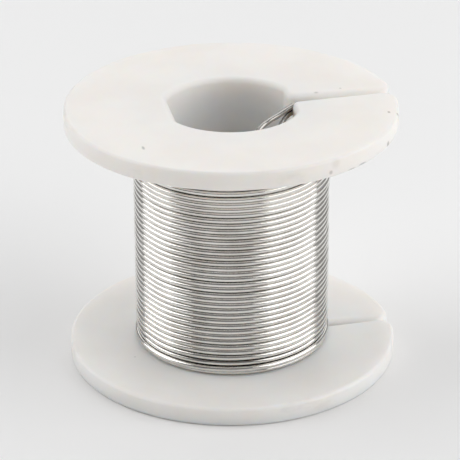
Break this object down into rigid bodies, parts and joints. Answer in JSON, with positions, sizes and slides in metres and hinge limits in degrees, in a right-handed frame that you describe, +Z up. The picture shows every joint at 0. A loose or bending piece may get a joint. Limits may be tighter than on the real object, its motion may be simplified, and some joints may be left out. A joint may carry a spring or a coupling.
{
  "type": "solder wire reel",
  "caption": "Small plastic reel with round flanges, tapered wire slots and a double-D spindle hole, wound with bright solder wire whose ends are tucked into the hole.",
  "frame": {"origin": "centre of the lower flange's bottom face, on the spindle hole's axis", "axes": "+Z up along the spindle hole's axis, +X through the mouths of the wire slots and square to the hole's flats"},
  "size_m": [0.0499, 0.05, 0.041],
  "materials": {
    "reel_plastic": "satin",
    "solder_wire": "polished"
  },
  "bodies": {
    "root": {"lower_reel_half": "reel_plastic", "upper_reel_half": "reel_plastic", "wire_layer_1": "solder_wire", "wire_layer_2": "solder_wire", "wire_layer_3": "solder_wire", "wire_layer_4": "solder_wire", "wire_start_tail": "solder_wire", "wire_finish_tail": "solder_wire"}
  },
  "joints": []
}
